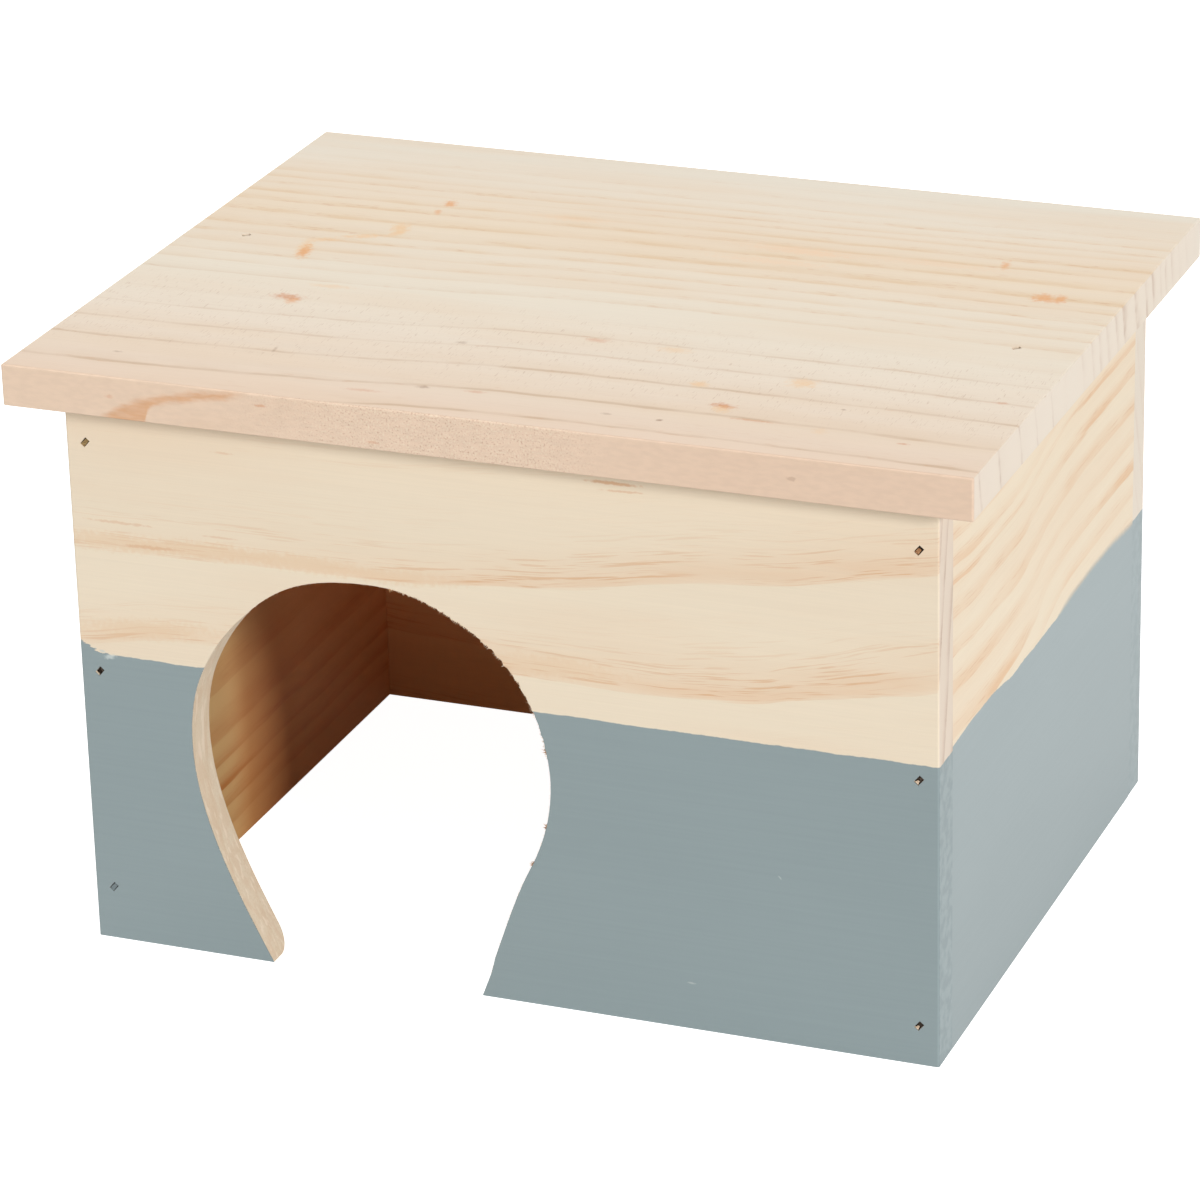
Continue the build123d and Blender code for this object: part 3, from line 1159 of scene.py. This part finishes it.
roofMarks = marksOn("Z", roofHigh.z, through=3.0, core=0.1, rows=[
    (-59.2, 43.6, 1.9, 3.0, 15, 0.8, resin),
    (-59.5, 37.0, 1.0, 2.6, 15, 0.55, resin),
    (-63.3, 24.0, 2.6, 4.2, 8, 0.7, paleResin),
    (-62.4, 20.4, 1.7, 3.6, -25, 0.7, paleResin),
    (-69.0, 16.0, 1.7, 6.0, -68, 0.65, paleResin),
    (-76.5, 11.2, 1.7, 5.0, -72, 0.55, paleResin),
    (-78.6, 4.2, 2.3, 7.0, 13, 0.7, paleResin),
    (-77.8, 2.0, 1.9, 5.4, 13, 0.8, resin),
    (-68.4, -27.4, 4.6, 2.4, -8, 0.75, rustResin),
    (-66.6, -29.4, 1.8, 2.4, 15, 0.6, resin),
    (77.3, 40.9, 1.2, 3.4, 8, 0.65, resin),
    (91.5, 22.5, 3.0, 3.3, 8, 0.8, resin),
    (95.6, 22.8, 1.6, 3.2, 5, 0.75, resin),
    (93.4, 21.0, 4.2, 1.6, 0, 0.5, resin),
    # warm clouds at the back
    (30.0, 36.5, 17.0, 3.2, 0, 0.5, peach),
    (34.0, 35.8, 8.0, 1.8, 0, 0.4, peach),
    (26.0, 27.6, 16.0, 3.0, 0, 0.45, peach),
    (-28.0, 42.0, 12.0, 2.6, 0, 0.35, peach),
    (62.0, 37.0, 20.0, 2.2, 0, 0.35, peach),
    # stains on the ring lines of the front half
    (-62.0, -18.0, 6.5, 1.5, 3, 0.35, paleResin),
    (-28.5, -76.7, 5.0, 1.0, 2, 0.35, rustResin),
    (-17.0, -71.0, 1.8, 1.0, 0, 0.5, bark),
    (-5.3, -70.3, 3.0, 0.9, 4, 0.4, rustResin),
    (-89.3, -71.0, 1.4, 0.7, 0, 0.35, bark),
    (-57.0, -59.5, 0.5, 2.2, 5, 0.35, bark),
    (-20.0, -43.0, 1.8, 1.0, 0, 0.35, bark),
    (7.8, -32.8, 3.4, 1.4, 0, 0.45, rustResin),
    (25.9, -33.6, 4.5, 2.0, 0, 0.4, paleResin),
    (59.0, -44.4, 3.8, 3.2, -12, 0.65, paleResin),
    (38.4, -51.7, 2.6, 2.2, 0, 0.65, paleResin),
    (47.8, -62.3, 3.4, 1.8, -5, 0.85, rustResin),
    (47.9, -64.2, 2.4, 2.4, 0, 0.6, paleResin),
    (102.6, -43.1, 2.0, 0.8, 5, 0.5, rustResin),
    (56.5, -68.5, 6.0, 0.7, 0, 0.5, rustResin),
    (71.6, -70.3, 2.0, 2.0, 0, 0.3, paleResin),
    (90.5, -71.8, 1.4, 0.6, 0, 0.6, rustResin),
    (37.9, -74.3, 0.8, 0.7, 0, 0.7, bark),
    (25.9, -74.1, 1.4, 0.8, 0, 0.35, bark),
    (72.4, -56.7, 0.7, 0.6, 0, 0.45, bark),
])
edgeMarks = marksOn("Y", roofLow.y, through=1.0, rows=[
    (71.0, 135.3, 1.1, 0.6, 0, 0.3, bark),
    (-22.5, 132.2, 1.6, 0.4, 0, 0.35, rustResin),
    (-48.3, 137.5, 1.4, 0.35, 0, 0.5, rustResin),
    (-84.2, 135.5, 1.0, 0.5, 0, 0.35, rustResin),
])

# Front edge of the roof: the cut grazes a ring there, and the saw left pits
roofEdge = {
    "skin": (1.0, 0.4),  # mm behind the edge where its own tone starts and is full
    "tone": seen(229, 202, 177),
    "farTone": seen(225, 196, 171),
    "farFrom": (0.0, 60.0),
    "toneShare": 0.85,
    # the ring's upper and lower limit along the edge
    "archReach": (-90.0, -50.0),
    "archTop": [
        (0, 129), (0.115, 131.4), (0.19, 133.4), (0.27, 135), (0.365, 136.4), (0.5, 137.6),
        (0.65, 139), (1, 140.4),
    ],
    "archTopFade": (-0.7, 1.5),
    "archUnder": [
        (0, 129), (0.33, 129.4), (0.37, 133.2), (0.42, 134.8), (0.52, 136), (0.65, 136.8),
        (0.8, 137.8), (1, 139.6),
    ],
    "archUnderFade": (-0.9, 0.8),
    "archEnd": (0.999, 0.8),
    "archRagged": (2.6, 0.7, 95, 0.4),
    "archWornSize": (5.0, 1.2),
    "archWorn": (0.75, 1.0),
    "archColour": seen(215, 163, 120),
    "archDepth": 0.86,
    "pitSize": (0.42, 0.42),
    "pitFrom": (-66.0, -20.0),
    "pitTo": (34.0, 14.0),
    "pitLimits": (0.55, 0.71),
    "pitColour": seen(196, 156, 130),
    "pitShare": 0.75,
    "pitDepth": 1.1,
    "chipLimits": (0.47, 0.34),
    "chipShare": 0.55,
    "mottleSize": (3.0, 0.9),
    "mottleDetail": 3.0,
    "mottleTint": (0.965, 1.02),
    "arrisShade": (0.9, 0.9, 0.9, 1.0),  # painted shade on the arrises at the roof's ends, against the highlight they catch
    "arrisFacing": (0.2, 0.5),
    "seed": 96,
}
# Nicks across the grain on the front half of the roof's upper face
roofNicks = {
    "size": (0.25, 3.0),
    "detail": 1.0,
    "limits": (0.645, 0.725),
    "start": (-72.0, -58.0),
    "end": (-12.0, -30.0),
    "below": (0.6, 0.2),  # mm under the upper face
    "depth": 0.3,
    "colour": seen(176, 138, 110),
    "seed": 93,
}


def nicked(colour, spot):
    upper = [roofHigh.z - below for below in roofNicks["below"]]
    zone = product(
        rise(spot["Y"], *roofNicks["start"]), rise(spot["Y"], *roofNicks["end"]),
        rise(spot["Z"], *upper),
    )
    size, seed, limits, detail = [roofNicks[key] for key in ("size", "seed", "limits", "detail")]
    nick = patches(spot["grain"], size, seed, limits, detail)
    return mixColour(product(nick, zone, roofNicks["depth"]), colour, roofNicks["colour"])


# Share of a point in the ring that the front edge grazes
def archShare(face, spot):
    run = rise(spot["X"], *roofEdge["archReach"], straight=True)
    ragged = addUp(spot["Z"], sway(spot["grain"], *roofEdge["archRagged"]))
    over = minus(pathOf(run, roofEdge["archTop"]), ragged)
    under = minus(ragged, pathOf(run, roofEdge["archUnder"]))
    worn = patches(spot["grain"], roofEdge["archWornSize"], roofEdge["seed"], evenLimits)
    return product(
        face, rise(over, *roofEdge["archTopFade"]),
        rise(under, *roofEdge["archUnderFade"]), rise(run, *roofEdge["archEnd"]),
        rescale(worn, *roofEdge["archWorn"]), roofEdge["archDepth"],
    )


def roofFinish(colour, height, spot, late):
    colour = nicked(colour, spot)
    face = rise(spot["Y"], *[roofLow.y + behind for behind in roofEdge["skin"]])
    far = rise(spot["X"], *roofEdge["farFrom"])
    tone = mixColour(far, roofEdge["tone"], roofEdge["farTone"])
    colour = mixColour(product(face, roofEdge["toneShare"]), colour, tone)
    colour = mixColour(archShare(face, spot), colour, roofEdge["archColour"])
    seed = roofEdge["seed"]
    speckle = streak(spot["grain"], *roofEdge["pitSize"], seed + 1)
    pitted = product(
        face, rise(spot["X"], *roofEdge["pitFrom"]),
        rise(spot["X"], *roofEdge["pitTo"]),
    )
    pits = product(pitted, rise(speckle, *roofEdge["pitLimits"]))
    colour = mixColour(product(pits, roofEdge["pitShare"]), colour, roofEdge["pitColour"])
    chips = product(pitted, rise(speckle, *roofEdge["chipLimits"]), roofEdge["chipShare"])
    colour = mixColour(chips, colour, pine["cream"])
    size, detail = roofEdge["mottleSize"], roofEdge["mottleDetail"]
    mottle = patches(spot["grain"], size, seed + 2, softLimits, detail)
    mottle = rescale(mottle, *roofEdge["mottleTint"])
    colour = tinted(colour, mixValue(face, 1.0, mottle))
    # painted shade on the eased arrises between the upper face and the ends, where they catch the light
    paintedShade = product(*[rise(facing(spot, axis), *roofEdge["arrisFacing"]) for axis in "XZ"])
    colour = tinted(colour, roofEdge["arrisShade"], paintedShade)
    return colour, minus(height, product(pits, roofEdge["pitDepth"]))


roofMaterial = boardMaterial("roofPine", roofGrain, marks=[*roofMarks, *edgeMarks], finish=roofFinish)
easedBoard(roofBoard, roofMaterial)
print("roof made")

# Brads
# Dark steel: real tarnish, and a darkness that paints the shade of the deep holes
bradSteel = {
    "bright": seen(84, 74, 66),
    "dull": seen(44, 36, 30),
    "tarnishScale": 2200.0,
    "tarnishDetail": 3.0,
    "tarnishLimits": (0.35, 0.6),
    "roughness": (0.5, 0.7),  # bright and dull
}


def steelMaterial():
    material, tree, shader = freshMaterial("bradSteel")
    place = addNode("ShaderNodeTexCoord", tree=tree).outputs["Object"]
    inputs = {"Vector": place, "Scale": bradSteel["tarnishScale"], "Detail": bradSteel["tarnishDetail"]}
    cloud = addNode("ShaderNodeTexNoise", inputs).outputs["Fac"]
    tarnish = rise(cloud, *bradSteel["tarnishLimits"])
    setInputs(shader, {
        "Metallic": 1.0,
        "Base Color": mixColour(tarnish, bradSteel["bright"], bradSteel["dull"]),
        "Roughness": rescale(tarnish, *bradSteel["roughness"]),
    })
    return material


wire = steelMaterial()
for name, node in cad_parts.items():
    if "brad" in name:
        node.data.materials.clear()
        node.data.materials.append(wire)
print("brads finished")

# Torn wood on the doorway's rim, and what lies in the brads' holes
tornFinishes = {
    "tornPine": {"pale": seen(238, 224, 203), "tan": seen(214, 184, 150), "roughness": 0.9},
    # brown split fibres; in the brads' holes this brown is also painted shade
    "splitPine": {"pale": seen(190, 146, 104), "tan": seen(128, 84, 52), "roughness": 0.9},
    "chipPine": {"pale": seen(228, 210, 188), "tan": seen(186, 156, 126), "roughness": 0.9},
    "khakiPine": {"pale": seen(172, 146, 98), "tan": seen(124, 98, 60), "roughness": 0.9},
    "plugPaint": {"pale": seen(122, 134, 137), "tan": seen(96, 108, 111), "roughness": 0.5},
}
tornFibre = {
    "size": (1.2, 0.15),
    "relief": 0.04,
    "seed": 101,
}


def tornMaterial(name, finish):
    material, tree, shader = freshMaterial(name)
    spot = boardPoint(tree, "XZY")
    fibre = streak(spot["grain"], *tornFibre["size"], tornFibre["seed"])
    setInputs(shader, {
        "Base Color": mixColour(rise(fibre, *evenLimits), finish["pale"], finish["tan"]),
        "Roughness": finish["roughness"],
        "Normal": bumpOf(fibre, tornFibre["relief"]),
    })
    return material


tornMaterials = {name: tornMaterial(name, finish) for name, finish in tornFinishes.items()}


# An empty Geometry Nodes tree with its named inputs
def newTree(name, inputs):
    tree = bpy.data.node_groups.new(name, "GeometryNodeTree")
    tree.interface.new_socket("Geometry", in_out="INPUT", socket_type="NodeSocketGeometry")
    for label, kind in inputs.items():
        tree.interface.new_socket(label, in_out="INPUT", socket_type="NodeSocket" + kind)
    tree.interface.new_socket("Geometry", in_out="OUTPUT", socket_type="NodeSocketGeometry")
    return tree, tree.nodes.new("NodeGroupInput").outputs


def closeTree(tree, instances, material):
    real = addNode("GeometryNodeRealizeInstances", {"Geometry": instances})
    inputs = {"Geometry": real.outputs[0], "Material": material}
    dressed = addNode("GeometryNodeSetMaterial", inputs)
    last = tree.nodes.new("NodeGroupOutput")
    tree.links.new(dressed.outputs[0], last.inputs[0])


def randomVector(limits, seed):
    inputs = {0: limits[0], 1: limits[1], "Seed": seed}
    return addNode("FunctionNodeRandomValue", inputs, data_type="FLOAT_VECTOR").outputs[0]


# Runs a tree on a mesh of points or edges and keeps the result as a plain mesh
def growPiece(name, mesh, tree, values):
    holder = addObject(name + "Seed", mesh)
    modifier = holder.modifiers.new(name, "NODES")
    modifier.node_group = tree
    for item in tree.interface.items_tree:
        if item.in_out == "INPUT" and item.name in values:
            modifier[item.identifier] = values[item.name]
    grown = settledMesh(holder)
    holder.modifiers.remove(modifier)
    bpy.data.objects.remove(holder)
    grown.name = name
    piece = addObject(name, grown)
    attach(piece, "root")
    print(name, "faces:", len(grown.polygons))


fuzzLean = 0.2  # mm before the wall that the fibres point to
rimFuzz = {
    "Spacing": 0.55 * mm,
    "Length": 0.55 * mm,
    "Thickness": 0.13 * mm,
    "Share": 0.55,
    "Scatter": 0.9,
    "Centre": (doorCentre[0] * mm, (frontLow.y - fuzzLean) * mm, doorCentre[1] * mm),
    "Seed": 5,
    "Material": tornMaterials["tornPine"],
}
# Longer fibres where the saw ran against the grain, right of and above a place
tornFringe = dict(
    rimFuzz, Spacing=0.45 * mm, Length=0.8 * mm, Thickness=0.24 * mm, Share=0.6, Scatter=0.8, Seed=6,
    tornFrom=(-24.0, 60.0),
)
rimSplinters = dict(
    rimFuzz, Spacing=0.16 * mm, Length=1.2 * mm, Thickness=0.28 * mm, Share=0.9, Scatter=1.1, Seed=8,
    Material=tornMaterials["splitPine"], reach=0.9,
    places=[(11.2, 61.4), (11.0, 43.5), (7.4, 34.1), (-23.8, 94.7)],
)
# One fibre, with the least and most of what differs from one to the next
fibreShape = {
    "corners": 4,
    "astray": ((-1, -0.6, -0.5), (1, 0.2, 0.5)),
    "size": ((0.6, 0.6, 0.25), (1.2, 1.2, 1.0)),
}


def fuzzTree():
    tree, given = newTree("rimFuzz", {
        "Spacing": "Float", "Length": "Float", "Thickness": "Float", "Share": "Float",
        "Scatter": "Float", "Centre": "Vector", "Seed": "Int", "Material": "Material",
    })
    path = addNode("GeometryNodeMeshToCurve", {"Mesh": given["Geometry"]})
    inputs = {"Curve": path.outputs[0], "Length": given["Spacing"]}
    points = addNode("GeometryNodeResampleCurve", inputs, mode="LENGTH")
    fibre = addNode("GeometryNodeMeshCone", {
        "Vertices": fibreShape["corners"], "Radius Top": 0.0,
        "Radius Bottom": product(given["Thickness"], 0.5), "Depth": given["Length"],
    })
    inputs = {"Probability": given["Share"], "Seed": given["Seed"]}
    chosen = addNode("FunctionNodeRandomValue", inputs, data_type="BOOLEAN")
    place = addNode("GeometryNodeInputPosition", tree=tree).outputs[0]
    inward = vectorMath("NORMALIZE", vectorMath("SUBTRACT", given["Centre"], place))
    astray = randomVector(fibreShape["astray"], given["Seed"])
    aim = vectorMath("ADD", inward, enlarged(astray, given["Scatter"]))
    turn = addNode("FunctionNodeAlignRotationToVector", {"Vector": aim}, axis="Z")
    placed = addNode("GeometryNodeInstanceOnPoints", {
        "Points": points.outputs[0], "Selection": chosen.outputs[3], "Instance": fibre.outputs[0],
        "Rotation": turn.outputs[0], "Scale": randomVector(fibreShape["size"], given["Seed"]),
    })
    closeTree(tree, placed.outputs[0], given["Material"])
    return tree


# The part of the doorway's rim that a test keeps, as a mesh of edges
def rimPart(name, keep):
    mesh = bpy.data.meshes.new(name)
    kept = [step for step, point in enumerate(doorwayRim) if keep(point.x / mm, point.z / mm)]
    steps = range(len(kept) - 1)
    links = [(index, index + 1) for index in steps if kept[index + 1] == kept[index] + 1]
    mesh.from_pydata([doorwayRim[step] for step in kept], links, [])
    return mesh


def onWholeRim(x, z):
    return True


def inTornPart(x, z):
    return x > tornFringe["tornFrom"][0] and z > tornFringe["tornFrom"][1]


def atSplinter(x, z):
    return any(math.dist((x, z), place) < rimSplinters["reach"] for place in rimSplinters["places"])


fuzz = fuzzTree()
growPiece("rimFuzz", rimPart("rimPath", onWholeRim), fuzz, rimFuzz)
growPiece("tornFringe", rimPart("tornPath", inTornPart), fuzz, tornFringe)
growPiece("rimSplinters", rimPart("splinterPath", atSplinter), fuzz, rimSplinters)

# Fillings of the brads' holes: each starts at the low end of its hole and slopes down to the head.
# A place is along the head, across it and above it.
tornFlap = {
    "Length": 1.25 * mm,
    "Width": 1.24 * mm,
    "Tip": 1.0 * mm,
    "Start": (-0.95 * mm, 0.0, 0.48 * mm),
    "Slope": (0.0, math.radians(107), 0.0),
    "Seed": 9,
    "Material": tornMaterials["splitPine"],
}
paleChip = dict(
    tornFlap, Length=0.75 * mm, Width=1.1 * mm, Tip=0.5 * mm, Seed=10,
    Material=tornMaterials["chipPine"],
)
paintPlug = dict(
    tornFlap, Length=1.75 * mm, Tip=1.1 * mm, Slope=(0.0, math.radians(98), 0.0), Seed=12,
    Material=tornMaterials["plugPaint"],
)
khakiPlug = dict(
    tornFlap, Length=1.7 * mm, Tip=0.9 * mm, Slope=(0.0, math.radians(101), 0.0), Seed=13,
    Material=tornMaterials["khakiPine"],
)
flapShape = {
    "corners": 6,
    "segments": 3,
    "flatten": (0.22, 1.0, 1.0),
    "size": ((0.85, 0.9, 0.95), (1.1, 1.0, 1.05)),  # least and most
}
paintTop = 72.0  # heads above this lie in bare wood


# Torn wood or khaki splinters above the paint, a pale chip or paint below it, or an open hole
def holeFill(head):
    x, z = head["middle"].x / mm, head["middle"].z / mm
    if z > paintTop:
        return "torn" if x > 0 else "khaki"
    if x > 0:
        return "chip"
    return "paint" if z < paintTop / 2 else "open"


def flapTree():
    tree, given = newTree("tornFlap", {
        "Length": "Float", "Width": "Float", "Tip": "Float", "Start": "Vector",
        "Slope": "Rotation", "Seed": "Int", "Material": "Material",
    })
    wedge = addNode("GeometryNodeMeshCone", {
        "Vertices": flapShape["corners"], "Side Segments": flapShape["segments"],
        "Radius Bottom": product(given["Width"], 0.5),
        "Radius Top": product(given["Tip"], 0.5), "Depth": given["Length"],
    })
    inputs = {"Geometry": wedge.outputs[0], "Scale": flapShape["flatten"]}
    thin = addNode("GeometryNodeTransform", inputs)
    sunk = addNode("GeometryNodeTransform", {
        "Geometry": thin.outputs[0], "Translation": given["Start"], "Rotation": given["Slope"],
    })
    ways = []
    for key in ("facing", "lean"):
        kind = "GeometryNodeInputNamedAttribute"
        ways.append(addNode(kind, {"Name": key}, tree, data_type="FLOAT_VECTOR").outputs[0])
    turn = addNode(
        "FunctionNodeAxesToRotation", {"Primary Axis": ways[0], "Secondary Axis": ways[1]},
        primary_axis="Z", secondary_axis="X",
    )
    placed = addNode("GeometryNodeInstanceOnPoints", {
        "Points": given["Geometry"], "Instance": sunk.outputs[0], "Rotation": turn.outputs[0],
        "Scale": randomVector(flapShape["size"], given["Seed"]),
    })
    closeTree(tree, placed.outputs[0], given["Material"])
    return tree


# The heads whose holes have one filling, as points that carry the way they face and lean
def headPoints(filling):
    heads = [head for head in bradHeads if holeFill(head) == filling]
    mesh = bpy.data.meshes.new(filling + "Heads")
    mesh.from_pydata([head["middle"] for head in heads], [], [])
    for key in ("facing", "lean"):
        layer = mesh.attributes.new(key, "FLOAT_VECTOR", "POINT")
        for index, head in enumerate(heads):
            layer.data[index].vector = head[key]
    return mesh


flap = flapTree()
growPiece("tornFlaps", headPoints("torn"), flap, tornFlap)
growPiece("paleChips", headPoints("chip"), flap, paleChip)
growPiece("paintPlugs", headPoints("paint"), flap, paintPlug)
growPiece("khakiPlugs", headPoints("khaki"), flap, khakiPlug)
print("torn wood made")

# Floor, light and backdrop
white = (1, 1, 1, 1)
studio = {
    "floorHalf": 3000.0,
    "floorDrop": 0.05,  # mm below the walls' lower edges
    "floorColour": (0.62, 0.62, 0.62, 1.0),
    "floorRoughness": 0.9,
    "floorGlow": 0.97,  # share of plain white that the camera sees in the floor
    "ambient": 0.36,
    "lamps": {
        "softKey": {"place": (4590.0, -3340.0, 1960.0), "size": 900.0, "power": 226.0},
        "softTop": {"place": (0.0, 0.0, 1600.0), "size": 1200.0, "power": 10.1},
        "softSide": {"place": (-1500.0, -1500.0, 700.0), "size": 1200.0, "power": 7.5},
    },
}


# One where the ray comes straight from the camera or by a mirror or clear surface
def seenDirectly(tree):
    path = addNode("ShaderNodeLightPath", tree=tree).outputs
    rays = [path["Is Camera Ray"], path["Is Glossy Ray"], path["Is Transmission Ray"]]
    return inTurn("MAXIMUM", rays)


def makeFloor():
    half = studio["floorHalf"] * mm
    drop = -studio["floorDrop"] * mm
    mesh = bpy.data.meshes.new("floor")
    corners = [(-half, -half, drop), (half, -half, drop), (half, half, drop), (-half, half, drop)]
    mesh.from_pydata(corners, [], [(0, 1, 2, 3)])
    floor = addObject("floor", mesh)
    material, tree, shader = freshMaterial("paleFloor")
    setInputs(shader, {
        "Base Color": studio["floorColour"],
        "Roughness": studio["floorRoughness"],
        "Emission Color": white,
        "Emission Strength": product(seenDirectly(tree), studio["floorGlow"]),
    })
    mesh.materials.append(material)


def makeLamp(name, place, size, power):
    lamp = bpy.data.lights.new(name, "AREA")
    lamp.size = size * mm
    lamp.energy = power
    holder = addObject(name, lamp)
    place = Vector(place) * mm
    holder.location = place
    holder.rotation_mode = "QUATERNION"
    holder.rotation_quaternion = lookTurn(-place)  # at the middle of the floor


def makeLight():
    world = bpy.data.worlds.new("studio")
    world.use_nodes = True
    tree = world.node_tree
    strength = rescale(seenDirectly(tree), studio["ambient"], 1.0)
    setInputs(tree.nodes["Background"], {"Color": white, "Strength": strength})
    bpy.context.scene.world = world
    for name, lamp in studio["lamps"].items():
        makeLamp(name, **lamp)


makeFloor()
makeLight()
bpy.context.scene.view_settings.view_transform = "Standard"
print("studio set")
